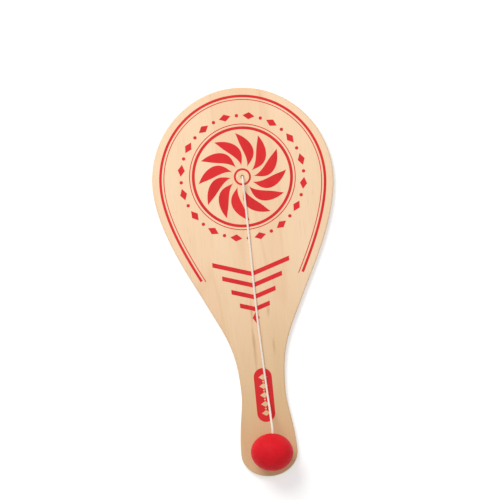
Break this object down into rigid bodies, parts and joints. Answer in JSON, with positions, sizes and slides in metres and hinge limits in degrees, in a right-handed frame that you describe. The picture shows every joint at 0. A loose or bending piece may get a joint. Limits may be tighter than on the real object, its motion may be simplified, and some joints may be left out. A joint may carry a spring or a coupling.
{
  "type": "paddle ball",
  "caption": "Flat wooden toy paddle with a red rubber ball on a white elastic that is knotted through a hole in the head; the ball swings, lifts, spins and pulls out.",
  "frame": {"origin": "middle of the paddle's outline, on the surface that the paddle's back lies on", "axes": "+Y up the paddle from the grip to the head's top, +X to the right across it, +Z out of the playing face"},
  "size_m": [0.127, 0.273, 0.0347],
  "materials": {
    "face_veneer": "satin",
    "core_veneer": "matte",
    "white_elastic": "matte",
    "red_rubber": "matte"
  },
  "bodies": {
    "paddle": {"front_face_ply": "face_veneer", "core_ply": "core_veneer", "back_face_ply": "face_veneer"},
    "string_root": {"back_knot": "white_elastic", "elastic_shank": "white_elastic"},
    "string": {"elastic_run": "white_elastic"},
    "string_end": {"elastic_in_ball": "white_elastic", "ball_knot": "white_elastic"},
    "ball_body": {"ball": "red_rubber"}
  },
  "joints": [
    {"name": "string_swivel", "type": "hinge", "parent": "paddle", "child": "string_root", "pos_m": [0, 0.074, 0.0048], "axis": [0, 0, 1], "continuous": true},
    {"name": "string_lift", "type": "hinge", "parent": "string_root", "child": "string", "pos_m": [0, 0.074, 0.00585], "axis": [-0.9998, -0.0194, 0], "range_deg": [0, 170], "deforming": ["elastic_run"]},
    {"name": "string_stretch", "type": "slide", "parent": "string", "child": "string_end", "axis": [0.0194, -0.9968, 0.0778], "range_m": [0, 0.35], "stiffness_N_per_m": 14, "deforming": ["elastic_run"]},
    {"name": "ball_spin", "type": "hinge", "parent": "string_end", "child": "ball_body", "pos_m": [0.00186, -0.1195, 0.0199], "axis": [-0.1219, -0.9925, 0], "continuous": true}
  ]
}
